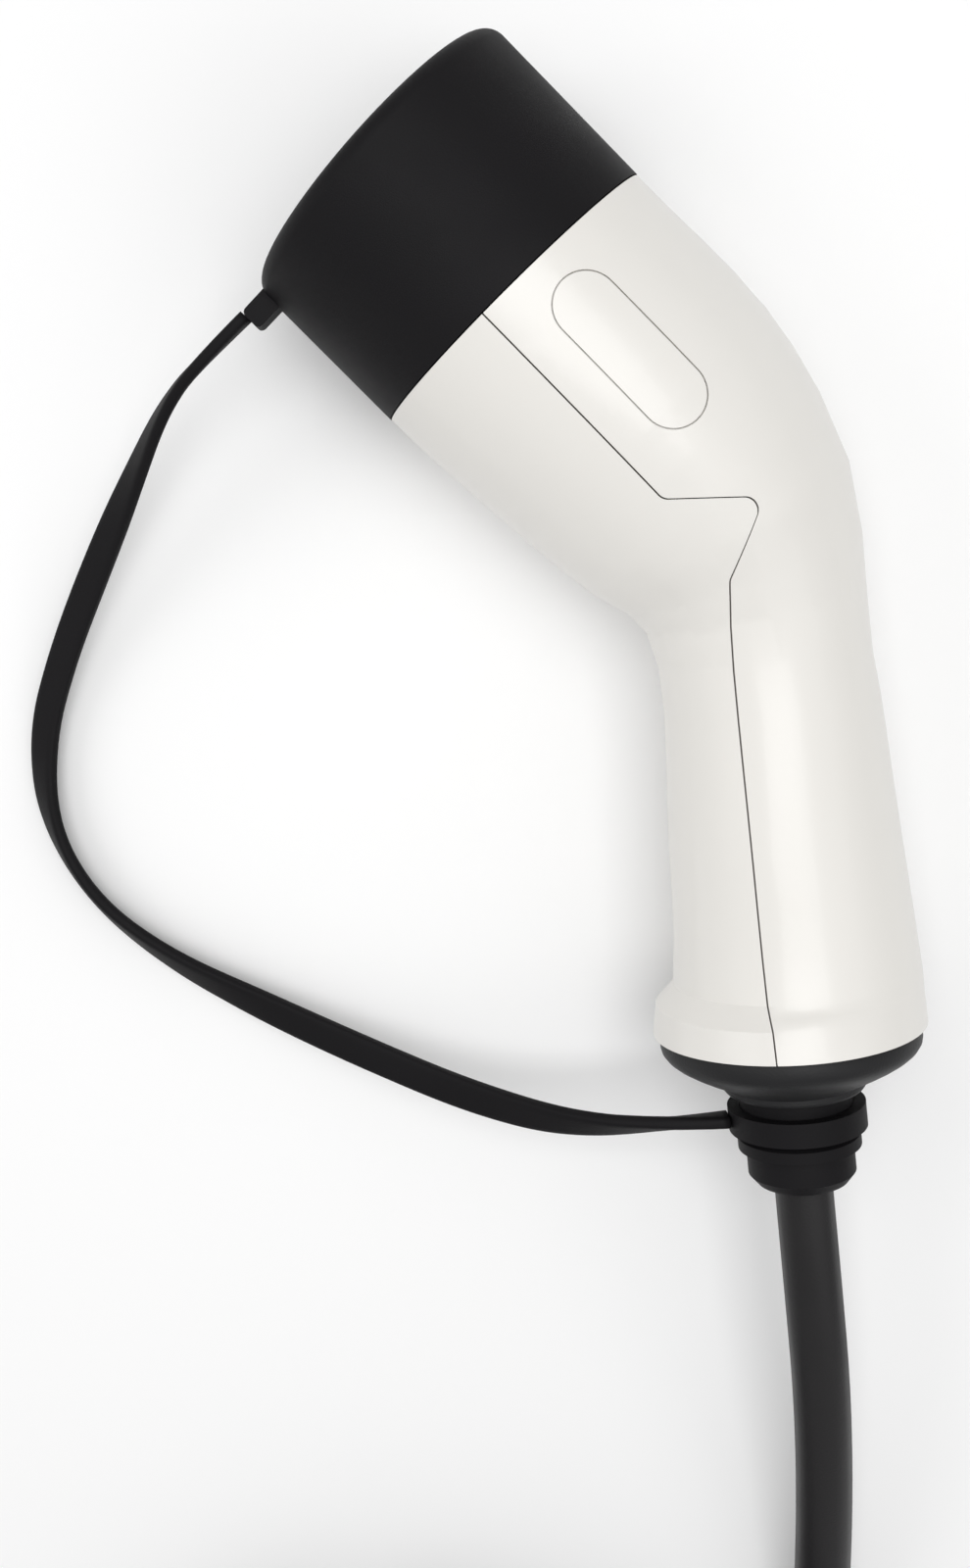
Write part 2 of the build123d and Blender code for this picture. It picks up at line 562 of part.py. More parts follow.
def make_core(name):
    """An insulated core from its crimp barrel, round the bend, to the end of the cable's jacket."""
    y, z, power = CONTACTS[name]
    front, up = CORE_PLACES[name]
    radius = (CORE_DIAMETER if power else SIGNAL_CORE_DIAMETER) / 2
    behind = CRIMP_BACK - CABLE_GAP
    points = [
        Vector(behind, y, z),
        Vector(behind - 12.0, y, z * 0.98),
        grip_point(8.0, FOOT_OFFSET + front * 2.2, up * 2.0),
        grip_point(JACKET_START - 22.0, FOOT_OFFSET + front, up),
        grip_point(JACKET_START - CABLE_GAP, FOOT_OFFSET + front, up * 0.99),
    ]
    path = FilletPolyline(*points, radius=5.0)
    start = Plane(origin=points[0], z_dir=(points[1] - points[0]).normalized())
    core = sweep(start * Circle(radius), path=path)
    return core + rod(nose_plane(behind, y, z), radius * 0.72, CRIMP_LENGTH * 0.5)


cores = {name: make_core(name) for name in CORE_PLACES}
pp_y, pp_z, _ = CONTACTS["pp"]
resistor = rod(nose_plane(CRIMP_BACK - 2.0 - RESISTOR_LENGTH, pp_y, pp_z), RESISTOR_RADIUS, RESISTOR_LENGTH)
resistor += rod(nose_plane(CRIMP_BACK - 3.0, pp_y, pp_z), RESISTOR_RADIUS / 3, 6.0)
cable_entry = rod(down_plane(JACKET_START, FOOT_OFFSET), CABLE_DIAMETER / 2, GLAND_END - JACKET_START)

# ---- cords ----
def cord_radii(points, limit):
    """Arc radius at each inner point: as large as its two runs allow."""
    radii = []
    for before, here, after in zip(points, points[1:], points[2:]):
        turn = (here - before).get_angle(after - here)
        shorter = min((here - before).length, (after - here).length)
        radii.append(0.45 * shorter / math.tan(math.radians(turn / 2)))
    print("  radii", [round(r, 1) for r in radii], "floor", round(limit, 1))
    return radii


def cord_tube(points, radius, limit=None):
    """A round tube along straight runs joined by tangent arcs."""
    points = [Vector(*p) for p in points]
    radii = cord_radii(points, limit or radius * 10)
    path = FilletPolyline(*points, radius=radii)
    start = Plane(origin=points[0], z_dir=(points[1] - points[0]).normalized())
    tube = sweep(start * Circle(radius), path=path)
    print("  volume", round(tube.volume, 1), "section x length", round(math.pi * radius**2 * path.length, 1))
    print("  length", round(path.length, 1))
    return tube


# The final frame: the grip runs down -Y, the back of the handle faces +X, and the origin is under the
# middle of the plug's outline, on the surface it lies on.
TURN = 90.0 + BEND_ANGLE
PLUG_CENTRE_X = 6.6
PLUG_CENTRE_Y = -63.1
REST_HEIGHT = CAP_RADIUS + CAP_FLARE


def placed(shape):
    """A piece moved from the working frame to the final one."""
    return Pos(-PLUG_CENTRE_X, -PLUG_CENTRE_Y, REST_HEIGHT) * Rot(0, 0, TURN) * shape


def placed_point(point):
    return (Pos(-PLUG_CENTRE_X, -PLUG_CENTRE_Y, REST_HEIGHT) * Rot(0, 0, TURN) * Pos(*point)).position


pieces = {
    "upper_shell": upper_shell,
    "lower_shell": lower_shell,
    "side_badge": badge_plate,
    "nose": nose,
    "nose_towers": solids_of(nose_towers),
    "nose_stubs": solids_of(nose_stubs),
    "nose_seal": nose_seal,
    "contact_retainer": retainer,
    "retainer_screws": solids_of(retainer_screws),
    "cap": cap,
    "base_collar": base_collar,
    "cable_gland": gland,
    "strap_ring": strap_ring,
    "clamp_front": clamp_front,
    "clamp_back": clamp_back,
    "clamp_screws": solids_of(clamp_screws),
    "proximity_resistor": resistor,
    "cable_entry": cable_entry,
}
pieces.update({"contact_" + name: contact for name, contact in contacts.items()})
pieces.update({"core_" + name: core for name, core in cores.items()})
pieces = {name: placed(piece) for name, piece in pieces.items()}

# ---- cords: points in the final frame ----
STRAP_POINTS = [
    (-75.0, 49.5, 28.0),
    (-85.1, 33.6, 19.8),
    (-95.4, 16.6, 12.8),
    (-104.6, 0.6, 7.0),
    (-111.1, -15.4, 4.2),
    (-111.6, -32.9, 3.7),
    (-104.1, -49.4, 3.7),
    (-90.1, -62.9, 4.2),
    (-71.1, -74.4, 6.8),
    (-50.1, -84.9, 12.3),
    (-28.6, -93.9, 20.3),
    (-9.6, -98.8, 29.0),
]
CABLE_POINTS = [
    (34.1, -157.9, 29.6),
    (33.8, -182.9, 21.6),
    (32.4, -208.0, 13.6),
    (31.0, -230.5, 8.6),
    (30.6, -251.5, 7.2),
]
strap_start = placed_point(Vector(lug_place.X, lug_place.Y + STRAP_LUG_LENGTH + CABLE_GAP, 0))
ring_side = FOOT_OFFSET + ring_inner + RING_WALL + CABLE_GAP
strap_end = placed_point(grip_point(RING_START + RING_HEIGHT / 2, ring_side))
cable_start = placed_point(grip_point(GLAND_END, FOOT_OFFSET))
STRAP_LEAD = 9.0
CABLE_LEAD = 21.0
underside = (placed_point(Vector(0, 1, 0)) - placed_point(Vector(0, 0, 0))) * STRAP_LEAD
strap_route = [strap_start, strap_start + underside, *STRAP_POINTS, strap_end - Vector(STRAP_LEAD, 0, 0), strap_end]
print("strap")
pieces["strap"] = cord_tube(strap_route, STRAP_TUBE_RADIUS, 3 * STRAP_WIDTH)

# ---- the rest of the lead, wound into a coil and tied ----
COIL_X = -54.6
COIL_Y = -298.9
COIL_TURN_RADIUS = 69.0
COIL_ACROSS = 4
COIL_LAYERS = 3
TIE_WIDTH = 16.0
TIE_THICKNESS = 1.2
TIE_GAP = 0.2
TIE_ANGLES = (95.0, 290.0)
coil_half = COIL_ACROSS * CABLE_DIAMETER / 2
coil_height = COIL_LAYERS * CABLE_DIAMETER
coil_floor = TIE_THICKNESS + TIE_GAP
ring = Cylinder(COIL_TURN_RADIUS + coil_half, coil_height) - Cylinder(COIL_TURN_RADIUS - coil_half, coil_height)
ring = fillet(ring.edges().filter_by(GeomType.CIRCLE), CABLE_DIAMETER * 0.4)
coil_centre = Pos(COIL_X, COIL_Y, coil_floor + coil_height / 2)
coil = coil_centre * ring
print("cable")
cable_route = [cable_start, cable_start - Vector(0, CABLE_LEAD, 0), *CABLE_POINTS]
pieces["cable"] = cord_tube(cable_route, CABLE_DIAMETER / 2)
pieces["cable_coil"] = coil


def make_tie(angle):
    """A flat band round the bundle of turns."""
    inner_width = 2 * coil_half + 2.4
    inner_height = coil_height + 2 * TIE_GAP
    band = Box(inner_width + 2 * TIE_THICKNESS, TIE_WIDTH, inner_height + 2 * TIE_THICKNESS)
    band -= Box(inner_width, TIE_WIDTH * 2, inner_height)
    return coil_centre * Rot(0, 0, angle) * Pos(COIL_TURN_RADIUS, 0, 0) * band


pieces["coil_ties"] = solids_of([make_tie(angle) for angle in TIE_ANGLES])

# ---- stripped end of the lead, lying on the coil ----
END_ANGLE = 215.0
END_HEADING = 110.0
SLEEVE_LENGTH = 24.0
SLEEVE_RADIUS = 6.3
END_CORE_LENGTH = 34.0
FERRULE_LENGTH = 9.0
FERRULE_RADIUS = 1.15
FERRULE_COLLAR = 5.0
coil_top = coil_floor + coil_height
end_place = Vector(
    COIL_X + COIL_TURN_RADIUS * math.cos(math.radians(END_ANGLE)),
    COIL_Y + COIL_TURN_RADIUS * math.sin(math.radians(END_ANGLE)),
    coil_top + SLEEVE_RADIUS + FLOOR_GAP,
)
heading = Vector(math.cos(math.radians(END_HEADING)), math.sin(math.radians(END_HEADING)), 0)
across = Vector(-heading.Y, heading.X, 0)
end_plane = Plane(origin=end_place, x_dir=across, z_dir=heading)
pieces["end_sleeve"] = rod(end_plane, SLEEVE_RADIUS, SLEEVE_LENGTH)
END_CORES = {
    "pe": (2.3, 2.0, 6.0),
    "n": (-2.3, 2.0, -2.5),
    "l1": (2.3, -2.3, 2.0),
    "cp": (-2.3, -2.3, -6.5),
}
ferrules = []
for name, (side, up, spread) in END_CORES.items():
    radius = (SIGNAL_CORE_DIAMETER if name == "cp" else CORE_DIAMETER) / 2
    begin = end_place + heading * (SLEEVE_LENGTH + CABLE_GAP) + across * side + Vector(0, 0, up)
    middle = begin + heading * 9.0 + across * (spread - side) * 0.1
    low = coil_top + CORE_DIAMETER * (0.75 if up < 0 else 1.2)
    end = begin + heading * END_CORE_LENGTH + across * (spread * 1.6 - side)
    end = Vector(end.X, end.Y, low)
    path = FilletPolyline(begin, middle, end, radius=12.0)
    start = Plane(origin=begin, z_dir=(middle - begin).normalized())
    pieces["end_core_" + name] = sweep(start * Circle(radius), path=path)
    tip = Plane(origin=end, z_dir=(end - middle).normalized())
    collar = Cone(radius + 0.1, radius * 0.75 + 0.5, FERRULE_COLLAR, align=(Align.CENTER, Align.CENTER, Align.MIN))
    pin = Pos(0, 0, FERRULE_COLLAR) * Cylinder(
        FERRULE_RADIUS, FERRULE_LENGTH, align=(Align.CENTER, Align.CENTER, Align.MIN)
    )
    ferrules.append(tip * (collar + pin))
pieces["end_ferrules"] = solids_of(ferrules)

for name, piece in pieces.items():
    export_step(piece, "parts/" + name + ".step")
    box = piece.bounding_box()
    print(name, piece.is_valid, len(piece.solids()), [round(v, 1) for v in (*box.min, *box.max)], round(piece.volume))
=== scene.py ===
import json
import math

import bpy
import numpy as np
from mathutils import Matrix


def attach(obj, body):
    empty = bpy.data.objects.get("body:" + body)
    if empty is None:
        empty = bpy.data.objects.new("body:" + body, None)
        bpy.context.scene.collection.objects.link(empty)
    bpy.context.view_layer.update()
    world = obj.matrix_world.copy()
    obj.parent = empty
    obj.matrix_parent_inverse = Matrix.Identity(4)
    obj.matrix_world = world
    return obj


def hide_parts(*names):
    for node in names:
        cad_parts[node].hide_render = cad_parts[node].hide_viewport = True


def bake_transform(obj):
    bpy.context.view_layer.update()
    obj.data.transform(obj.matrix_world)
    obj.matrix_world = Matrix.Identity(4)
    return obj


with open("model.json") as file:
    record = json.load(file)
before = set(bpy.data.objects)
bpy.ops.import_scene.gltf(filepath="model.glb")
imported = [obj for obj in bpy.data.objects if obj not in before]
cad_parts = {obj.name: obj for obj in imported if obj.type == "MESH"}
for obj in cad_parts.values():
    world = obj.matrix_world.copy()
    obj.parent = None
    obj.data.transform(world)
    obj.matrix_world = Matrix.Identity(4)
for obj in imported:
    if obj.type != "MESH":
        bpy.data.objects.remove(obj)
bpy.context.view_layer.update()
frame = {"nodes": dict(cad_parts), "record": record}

nodes = frame["nodes"]

# ---- floor, light and camera ----
# A plain pale table top lit by one large soft box overhead, a weaker one from the
# left and an even surround. The camera looks straight down on the plug, which lies
# on its side.
PLUG_MID_HEIGHT = 0.0338
CAMERA_PLACE = (-0.0223, 0.0196)
CAMERA_HEIGHT = 0.3435
CAMERA_TURN = math.radians(-5.32)
FOCAL_LENGTH = 40.5
SENSOR_WIDTH = 36.0
LENS_SHIFT = (0.0194, -0.162)
NEAR_CLIP = 0.01
SURROUND_STRENGTH = 0.50
TABLE_REACH = 3
SOFT_BOXES = (
    ("overhead_softbox", (0.02, 0.12, 1.10), (0.0, 0.0, 0.0), 0.70, 5.6),
    ("left_softbox", (-0.85, 0.25, 0.75), (0.0, -0.85, 0.0), 0.6, 1.8),
    ("grip_fill", (0.55, -0.35, 0.80), (0.45, 0.6, 0.0), 0.7, 0.9),
)
floor_mesh = bpy.data.meshes.new("table_top")
table_corners = [(x * TABLE_REACH, y * TABLE_REACH, 0) for x, y in ((-1, -1), (1, -1), (1, 1), (-1, 1))]
floor_mesh.from_pydata(table_corners, [], [(0, 1, 2, 3)])
table_top = bpy.data.objects.new("table_top", floor_mesh)
bpy.context.collection.objects.link(table_top)
for name, place, turn, size, power in SOFT_BOXES:
    lamp = bpy.data.lights.new(name, "AREA")
    lamp.size = size
    lamp.energy = power
    light = bpy.data.objects.new(name, lamp)
    light.location = place
    light.rotation_euler = turn
    bpy.context.collection.objects.link(light)
world = bpy.data.worlds.new("surround")
bpy.context.scene.world = world
world.use_nodes = True
background = world.node_tree.nodes["Background"]
background.inputs["Color"].default_value = (1.0, 1.0, 1.0, 1.0)
background.inputs["Strength"].default_value = SURROUND_STRENGTH
lens = bpy.data.cameras.new("camera")
lens.lens = FOCAL_LENGTH
lens.sensor_width = SENSOR_WIDTH
lens.shift_x, lens.shift_y = LENS_SHIFT
lens.clip_start = NEAR_CLIP
camera = bpy.data.objects.new("camera", lens)
camera.location = (*CAMERA_PLACE, PLUG_MID_HEIGHT + CAMERA_HEIGHT)
camera.rotation_euler = (0.0, 0.0, CAMERA_TURN)
bpy.context.collection.objects.link(camera)
bpy.context.scene.camera = camera
bpy.context.scene.view_settings.view_transform = "Standard"


class Wire:
    """A node's output, on which + and * add the matching Math nodes."""

    def __init__(self, finish, socket):
        self.finish = finish
        self.socket = socket

    def maths(self, operation, first, second):
        return self.finish.add("ShaderNodeMath", {"operation": operation}, {0: first, 1: second})

    def __add__(self, other):
        return self.maths("ADD", self, other)

    def __mul__(self, other):
        return self.maths("MULTIPLY", self, other)


class Finish:
    """A material built from one Principled shader. add() makes a node from its type, settings and inputs."""

    def __init__(self, name, **constants):
        self.material = bpy.data.materials.new(name)
        self.material.use_nodes = True
        self.tree = self.material.node_tree
        self.shader = self.tree.nodes["Principled BSDF"]
        for socket, value in constants.items():
            self.shader.inputs[socket.replace("_", " ")].default_value = value

    def add(self, kind, settings=None, inputs=None, output=0):
        node = self.tree.nodes.new(kind)
        for key, value in (settings or {}).items():
            setattr(node, key, value)
        for key, value in (inputs or {}).items():
            if isinstance(value, Wire):
                self.tree.links.new(value.socket, node.inputs[key])
            else:
                node.inputs[key].default_value = value
        return Wire(self, node.outputs[output])

    def place(self):
        return self.add("ShaderNodeTexCoord", output="Object")

    def noise(self, scale, detail=3.0):
        inputs = {"Vector": self.place(), "Scale": scale, "Detail": detail}
        return self.add("ShaderNodeTexNoise", {}, inputs, "Fac")

    def mix(self, factor, first, second):
        """Blends two colours. A Mix node set to colour takes them at its inputs 6 and 7."""
        node = self.tree.nodes.new("ShaderNodeMix")
        node.data_type = "RGBA"
        self.tree.links.new(factor.socket, node.inputs[0])
        node.inputs[6].default_value = (*first, 1.0)
        node.inputs[7].default_value = (*second, 1.0)
        return Wire(self, node.outputs[2])

    def feed(self, socket, wire):
        self.tree.links.new(wire.socket, self.shader.inputs[socket])

    def bump(self, height, depth):
        self.feed("Normal", self.add("ShaderNodeBump", {}, {"Height": height, "Distance": depth, "Strength": 1.0}))


table_finish = Finish("table_finish", Base_Color=(0.97, 0.97, 0.97, 1.0), Roughness=0.6)
table_finish.feed("Roughness", table_finish.noise(4.0) * 0.1 + 0.55)
floor_mesh.materials.append(table_finish.material)

# ---- cable: the free run and the coil ----
# Rubber-sheathed lead with three cores and a pilot wire, extruded round, 11.4 mm
# thick and about 5 m long. It runs straight out of the gland, drops to the table
# and is wound in three layers for storage.
CABLE_DIAMETER = 0.0114
CABLE_EXIT = (0.033586, -0.1133, 0.0338)
CABLE_ROUTE = (
    CABLE_EXIT,
    (0.033586, -0.1343, 0.0338),
    (0.0341, -0.1579, 0.0296),
    (0.0338, -0.1829, 0.0216),
    (0.0324, -0.2080, 0.0136),
    (0.0318, -0.2305, 0.0086),
    (0.0316, -0.2515, 0.0072),
    (0.0318, -0.2760, 0.0071),
)
COIL_CENTRE = np.array([-0.0546, -0.2989])
COIL_OUTER = 0.0861
COIL_INNER = 0.0519
COIL_FLOOR = 0.0071
# each stage's turns, its first and last radius, and its first and last layer
COIL_STAGES = (
    (3, COIL_OUTER, COIL_INNER, 0, 0),
    (1, COIL_INNER, COIL_INNER, 0, 1),
    (3, COIL_INNER, COIL_OUTER, 1, 1),
    (1, COIL_OUTER, COIL_OUTER, 1, 2),
    (3, COIL_OUTER, COIL_INNER, 2, 2),
)
COIL_TURNS = sum(stage[0] for stage in COIL_STAGES)
TURN_POINTS = 16
TAIL_POINTS = 7
TAIL_SHARE = 145.0 / 360.0
TAIL_RADIUS = 0.069
TAIL_LIFT = 1.06
TAIL_END = ((-0.1111, -0.3385, 0.0420), (-0.1125, -0.3347, 0.0420))


def coil_points():
    """Control points of the turns, clockwise from angle 0: each layer spirals one diameter per turn, then one
    turn at a constant radius climbs to the next layer. The tail climbs on top and moves out to the middle."""
    radii, layers = [], []
    for turns, begin, end, low, high in COIL_STAGES:
        share = (np.arange(turns * TURN_POINTS) + 0.5) / (turns * TURN_POINTS)
        radii.append(begin + (end - begin) * share)
        layers.append(low + (high - low) * share)
    tail = np.linspace(0.1, 1.0, TAIL_POINTS)
    radii.append(COIL_INNER + (TAIL_RADIUS - COIL_INNER) * np.clip((tail - 0.5) / 0.5, 0, 1))
    layers.append(2 + TAIL_LIFT * np.clip(tail / 0.6, 0, 1))
    wound = np.arange(COIL_TURNS * TURN_POINTS) + 0.5
    angle = -2 * np.pi * np.concatenate([wound / TURN_POINTS, COIL_TURNS + tail * TAIL_SHARE])
    radius = np.concatenate(radii) / math.cos(math.pi / TURN_POINTS)
    height = COIL_FLOOR + CABLE_DIAMETER * np.concatenate(layers)
    return np.column_stack(
        [COIL_CENTRE[0] + radius * np.cos(angle), COIL_CENTRE[1] + radius * np.sin(angle), height]
    )


def laid_curve(name, points, radius, steps):
    """A NURBS curve on given points, swept as a round tube where radius is above 0."""
    curve = bpy.data.curves.new(name, "CURVE")
    curve.dimensions = "3D"
    curve.bevel_depth = radius
    curve.bevel_resolution = 5
    curve.use_fill_caps = True
    spline = curve.splines.new("NURBS")
    spline.points.add(len(points) - 1)
    for point, place in zip(spline.points, points):
        point.co = (*place, 1.0)
    spline.order_u = 3
    spline.use_endpoint_u = True
    spline.resolution_u = steps
    laid = bpy.data.objects.new(name, curve)
    bpy.context.collection.objects.link(laid)
    return laid


cable_finish = Finish(
    "cable_finish", Base_Color=(0.014, 0.013, 0.014, 1.0), Roughness=0.4, Specular_IOR_Level=0.28
)
cable_finish.feed("Roughness", cable_finish.noise(90.0) * 0.16 + 0.33)
cable_shade = cable_finish.mix(cable_finish.noise(35.0), (0.012, 0.0113, 0.012), (0.018, 0.017, 0.018))
cable_finish.feed("Base Color", cable_shade)
cable_finish.bump(cable_finish.noise(2600.0, 2.0), 0.00004)
cable = laid_curve("lead", [*CABLE_ROUTE, *coil_points().tolist(), *TAIL_END], CABLE_DIAMETER / 2, 5)
cable.data.materials.append(cable_finish.material)
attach(cable, "plug")
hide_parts("cable", "cable_coil")

# ---- strap ----
# Flat rubber ribbon moulded in one with the cap and its ring, 6.7 by 2.6 mm. It
# leaves the cap on edge, twists flat, stands on edge round its bend and runs back
# under the handle to the ring.
STRAP_WIDTH = 0.0067
STRAP_THICKNESS = 0.0026
STRAP_ROUTE = (
    (-0.0589, 0.0647, 0.0338),
    (-0.0659, 0.0590, 0.0338),
    (-0.0766, 0.0506, 0.0280),
    (-0.0870, 0.0346, 0.0198),
    (-0.0974, 0.0174, 0.0128),
    (-0.1065, 0.0012, 0.0070),
    (-0.1132, -0.0156, 0.0044),
    (-0.1136, -0.0340, 0.0043),
    (-0.1056, -0.0512, 0.0041),
    (-0.0910, -0.0649, 0.0044),
    (-0.0718, -0.0761, 0.0068),
    (-0.0507, -0.0864, 0.0123),
    (-0.0290, -0.0953, 0.0203),
    (-0.0096, -0.0997, 0.0290),
    (0.0111, -0.0996, 0.0338),
    (0.0201, -0.0996, 0.0338),
)
STRAP_STEPS = 12
STRAP_SIDES = 24
TWIST_AT = (0.0, 0.10, 0.22, 0.36, 0.47, 0.56, 0.68, 0.84, 0.95, 1.0)
TWIST_DEGREES = (90, 70, 12, 25, 78, 60, 12, 12, 66, 90)
TWIST_SMOOTHING = 8


def mesh_piece(name, places, faces, finish):
    """Puts an array of points and a list of faces into a smooth-shaded mesh object at the origin."""
    mesh = bpy.data.meshes.new(name)
    mesh.from_pydata(places.tolist(), [], faces)
    mesh.shade_smooth()
    mesh.materials.append(finish.material)
    piece = bpy.data.objects.new(name, mesh)
    bpy.context.collection.objects.link(piece)
    return piece


def grid_faces(rows, columns):
    """Quads of a grid that closes on itself across its columns."""
    row, column = np.meshgrid(np.arange(rows - 1), np.arange(columns), indexing="ij")
    after = (column + 1) % columns
    near, far = row * columns, (row + 1) * columns
    return np.stack([near + column, near + after, far + after, far + column], axis=-1).reshape(-1, 4)


def squared_off(wave, power):
    """A cosine or sine pulled towards a square wave, which turns a circle into a rounded oblong."""
    return np.abs(wave) ** power * np.sign(wave)


strap_line = laid_curve("strap_line", STRAP_ROUTE, 0.0, STRAP_STEPS)
bpy.context.view_layer.update()
line_mesh = bpy.data.meshes.new_from_object(strap_line)
line = np.array([v.co for v in line_mesh.vertices])
bpy.data.objects.remove(strap_line)
tangent = np.gradient(line, axis=0)
tangent /= np.linalg.norm(tangent, axis=1, keepdims=True)
level = np.cross([0.0, 0.0, 1.0], tangent)
level /= np.linalg.norm(level, axis=1, keepdims=True)
upright = np.cross(tangent, level)
run = np.concatenate([[0.0], np.cumsum(np.linalg.norm(np.diff(line, axis=0), axis=1))])
twist = np.interp(run / run[-1], TWIST_AT, np.radians(TWIST_DEGREES))
window = 2 * TWIST_SMOOTHING + 1
twist = np.convolve(np.pad(twist, TWIST_SMOOTHING, mode="edge"), np.ones(window) / window, mode="valid")[:, None]
wide = level * np.cos(twist) + upright * np.sin(twist)
thick = upright * np.cos(twist) - level * np.sin(twist)
around = np.linspace(0, 2 * np.pi, STRAP_SIDES, endpoint=False)
across = squared_off(np.cos(around), 0.45) * STRAP_WIDTH / 2
through = squared_off(np.sin(around), 0.6) * STRAP_THICKNESS / 2
strap_points = (
    line[:, None, :]
    + wide[:, None, :] * across[None, :, None]
    + thick[:, None, :] * through[None, :, None]
).reshape(-1, 3)
last = (len(line) - 1) * STRAP_SIDES
strap_faces = grid_faces(len(line), STRAP_SIDES).tolist()
strap_faces += [list(range(STRAP_SIDES))[::-1], list(range(last, last + STRAP_SIDES))]
rubber_finish = Finish(
    "rubber_finish", Base_Color=(0.010, 0.0097, 0.0105, 1.0), Roughness=0.6, Specular_IOR_Level=0.12
)
rubber_finish.feed("Roughness", rubber_finish.noise(60.0) * 0.2 + 0.48)
rubber_shade = rubber_finish.mix(rubber_finish.noise(25.0), (0.0062, 0.0058, 0.0066), (0.0105, 0.0098, 0.0110))
rubber_finish.feed("Base Color", rubber_shade)
rubber_finish.bump(rubber_finish.noise(3200.0, 2.0), 0.00005)
strap = mesh_piece("strap_ribbon", strap_points, strap_faces, rubber_finish)
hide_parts("strap")
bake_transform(strap)


# ---- white housing: two shells and the side badge ----
# Two injection-moulded halves in glossy warm white, joined along a fine groove,
# with a bare obround plate set flush into the upper side.
def joined(node):
    """A CAD node's triangles with the corners that lie in one place made one point."""
    data = nodes[node].data
    places = np.empty(len(data.vertices) * 3)
    data.vertices.foreach_get("co", places)
    corners = np.empty(len(data.loops), int)
    data.loops.foreach_get("vertex_index", corners)
    unique, index = np.unique(np.round(places.reshape(-1, 3), 6), axis=0, return_inverse=True)
    faces = index.reshape(-1)[corners].reshape(-1, 3)
    kept = (faces[:, 0] != faces[:, 1]) & (faces[:, 1] != faces[:, 2]) & (faces[:, 2] != faces[:, 0])
    return unique, faces[kept]


def smooth_piece(node, name, finish, body, sharp=32.0):
    """A rigid node's own form, shaded smooth up to a crease angle, in place of its loose triangles."""
    places, faces = joined(node)
    piece = mesh_piece(name, places, faces.tolist(), finish)
    piece.data.set_sharp_from_angle(angle=math.radians(sharp))
    weighted = piece.modifiers.new("even_shading", "WEIGHTED_NORMAL")
    weighted.keep_sharp = True
    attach(piece, body)
    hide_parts(node)
    return piece


white_finish = Finish(
    "white_finish", Base_Color=(0.82, 0.80, 0.76, 1.0), Roughness=0.24, Coat_Roughness=0.08
)
white_shade = white_finish.mix(white_finish.noise(12.0), (0.785, 0.765, 0.725), (0.815, 0.797, 0.76))
white_finish.feed("Base Color", white_shade)
white_finish.feed("Roughness", white_finish.noise(30.0) * 0.10 + 0.27)
white_finish.feed("Coat Weight", white_finish.noise(8.0) * 0.12 + 0.08)
white_finish.bump(white_finish.noise(700.0, 2.0), 0.000012)
smooth_piece("upper_shell", "housing_upper", white_finish, "plug")
smooth_piece("lower_shell", "housing_lower", white_finish, "plug")
smooth_piece("side_badge", "side_plate", white_finish, "plug")

# ---- cap ----
# Matte rubber cup pushed over the nose, with a rounded end and a lug where the
# strap leaves it.
HEAD_AXIS = np.array([-0.63203, 0.77494, 0.0])
HEAD_SIDE = np.array([-0.77494, -0.63203, 0.0])
HEAD_ORIGIN = np.array([-0.0066, 0.0631, 0.0338])
END_SLANT = 0.05
SLANT_START = 0.018
SLANT_RUN = 0.022
nose_cap = smooth_piece("cap", "nose_cap", rubber_finish, "cap", 40.0)
cap_points = np.empty(len(nose_cap.data.vertices) * 3)
nose_cap.data.vertices.foreach_get("co", cap_points)
cap_points = cap_points.reshape(-1, 3)
# the end is moulded a little out of square: points slide along the axis by their distance
# to the side, more the nearer they are to the end
outward = np.clip(((cap_points - HEAD_ORIGIN) @ HEAD_AXIS - SLANT_START) / SLANT_RUN, 0, 1)
slide = -END_SLANT * ((cap_points - HEAD_ORIGIN) @ HEAD_SIDE) * outward**2 * (3 - 2 * outward)
cap_points += slide[:, None] * HEAD_AXIS
nose_cap.data.vertices.foreach_set("co", cap_points.ravel())
nose_cap.data.update()

# ---- collar, gland and strap ring ----
# Fine-textured nylon collar snapped into the handle's foot, a ribbed rubber gland
# that relieves the cable, and the strap's ring round the gland's neck.
nylon_finish = Finish(
    "nylon_finish", Base_Color=(0.013, 0.013, 0.014, 1.0), Roughness=0.5, Specular_IOR_Level=0.25
)
nylon_finish.feed("Roughness", nylon_finish.noise(120.0) * 0.16 + 0.42)
nylon_shade = nylon_finish.mix(nylon_finish.noise(20.0), (0.011, 0.011, 0.012), (0.017, 0.017, 0.018))
nylon_finish.feed("Base Color", nylon_shade)
nylon_finish.bump(nylon_finish.noise(2200.0, 2.0), 0.00006)
COLLAR_AXIS_X = 0.033586
COLLAR_STEPS = 144
COLLAR_CREASE = math.radians(35)
# radius and depth along the grip's axis, round the section and back to its first point
COLLAR_PROFILE = (
    (0.0112, -0.0772),
    (0.0236, -0.0772),
    (0.0236, -0.0822),
    (0.0249, -0.0824),
    (0.0252, -0.0829),
    (0.0252, -0.0848),
    (0.0250, -0.0857),
    (0.0243, -0.0867),
    (0.0231, -0.0877),
    (0.0212, -0.0889),
    (0.0190, -0.0901),
    (0.0168, -0.0912),
    (0.0148, -0.0922),
    (0.0138, -0.0928),
    (0.0138, -0.0937),
    (0.0134, -0.0942),
    (0.0118, -0.0944),
    (0.0112, -0.0940),
)
collar_radius, collar_depth = np.array(COLLAR_PROFILE).T[:, :, None]
collar_angle = np.linspace(0, 2 * np.pi, COLLAR_STEPS, endpoint=False)
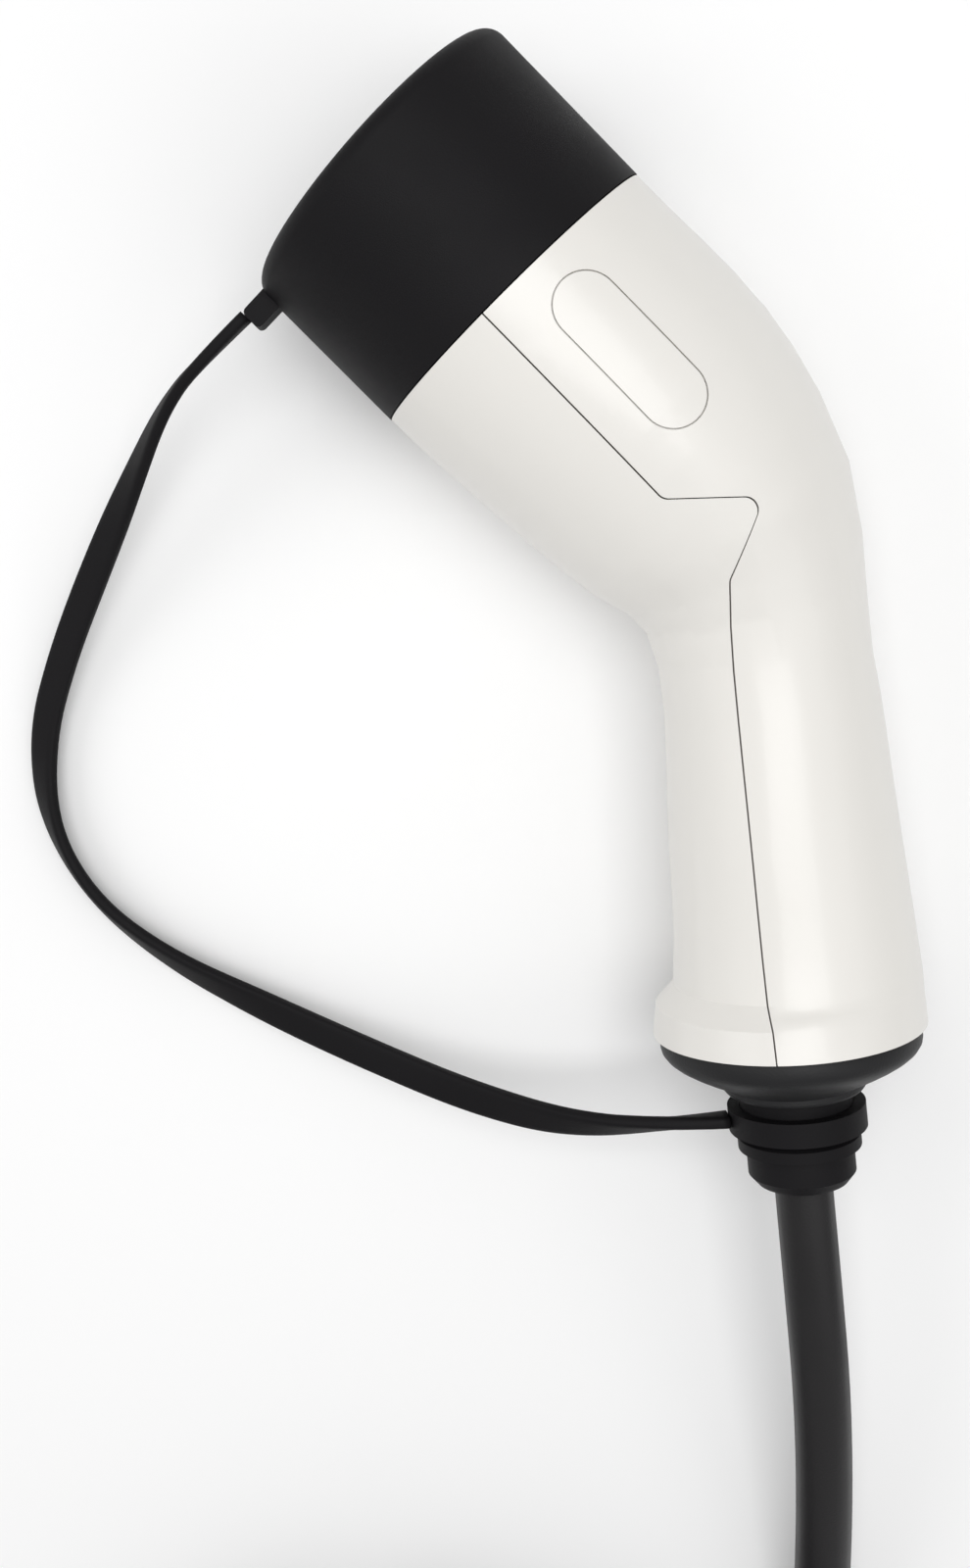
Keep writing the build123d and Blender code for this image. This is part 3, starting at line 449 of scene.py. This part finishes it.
# turned about the grip's axis: each profile point's radius goes round, its depth stays
collar_points = np.stack(
    [
        COLLAR_AXIS_X + collar_radius * np.cos(collar_angle),
        collar_depth * np.ones(COLLAR_STEPS),
        PLUG_MID_HEIGHT + collar_radius * np.sin(collar_angle),
    ],
    axis=-1,
).reshape(-1, 3)
# one row of faces more than an open profile has, which joins its last point to its first
collar_faces = grid_faces(len(COLLAR_PROFILE) + 1, COLLAR_STEPS) % len(collar_points)
foot_collar = mesh_piece("foot_collar", collar_points, collar_faces.tolist(), nylon_finish)
foot_collar.data.set_sharp_from_angle(angle=COLLAR_CREASE)
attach(foot_collar, "plug")
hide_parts("base_collar")
smooth_piece("cable_gland", "cable_relief", rubber_finish, "plug")
smooth_piece("strap_ring", "neck_ring", rubber_finish, "plug")

# ---- nose and its towers ----
# Black nylon shroud with seven towers on its floor. It shows once the cap is off, and
# a rubber ring seals it to the housing.
smooth_piece("nose", "nose_shroud", nylon_finish, "plug")
smooth_piece("nose_towers", "contact_towers", nylon_finish, "plug")

# ---- finishes of the carried-over pieces ----
# Turned and silver-plated sockets, moulded holders, steel screws, coloured core
# insulation, crimped ferrules and woven ties.
metals = {
    "silver_plate": ((0.70, 0.68, 0.64), (0.80, 0.78, 0.74), 0.22),
    "steel": ((0.50, 0.50, 0.51), (0.60, 0.60, 0.61), 0.3),
    "tin_plate": ((0.62, 0.62, 0.62), (0.74, 0.74, 0.74), 0.34),
}
plastics = {
    "grey_nylon": ((0.15, 0.15, 0.16), (0.20, 0.20, 0.21), 0.5),
    "blue_lacquer": ((0.08, 0.22, 0.36), (0.11, 0.27, 0.43), 0.25),
    "core_blue": ((0.04, 0.17, 0.46), (0.06, 0.22, 0.54), 0.42),
    "core_brown": ((0.17, 0.075, 0.033), (0.22, 0.10, 0.045), 0.42),
    "core_white": ((0.66, 0.66, 0.64), (0.74, 0.74, 0.72), 0.42),
}
finishes = {"black_nylon": nylon_finish, "black_rubber": rubber_finish, "cable_jacket": cable_finish}
finishes["white_shell"] = white_finish
for group, metallic in ((metals, 1.0), (plastics, 0.0)):
    for slot_name, (dark, pale, rough) in group.items():
        finish = Finish(slot_name + "_finish", Metallic=metallic)
        finish.feed("Base Color", finish.mix(finish.noise(140.0), dark, pale))
        finish.feed("Roughness", finish.noise(400.0) * 0.14 + rough)
        finish.bump(finish.noise(1800.0), 0.00001)
        finishes[slot_name] = finish
green = Finish("core_green_finish")
stripe = green.add(
    "ShaderNodeTexWave", {"bands_direction": "DIAGONAL"}, {"Vector": green.place(), "Scale": 70.0}, "Fac"
)
sharp_stripe = green.add("ShaderNodeMath", {"operation": "GREATER_THAN"}, {0: stripe, 1: 0.5})
green.feed("Base Color", green.mix(sharp_stripe, (0.10, 0.36, 0.07), (0.80, 0.62, 0.05)))
green.feed("Roughness", green.noise(300.0) * 0.12 + 0.38)
finishes["core_green"] = green
woven = Finish("tie_finish", Sheen_Weight=0.3)
warp, weft = (
    woven.add("ShaderNodeTexWave", {"bands_direction": side}, {"Vector": woven.place(), "Scale": 380.0}, "Fac")
    for side in "XY"
)
woven.feed("Base Color", woven.mix(warp * weft, (0.012, 0.012, 0.013), (0.045, 0.045, 0.047)))
woven.feed("Roughness", warp * 0.1 + 0.8)
woven.bump(warp + weft, 0.0003)
finishes["tie_fabric"] = woven
for subpart in frame["record"]["subparts"]:
    data = nodes[subpart["node"]].data
    data.materials.clear()
    data.materials.append(finishes[subpart["material_slot"]].material)

bpy.context.view_layer.update()
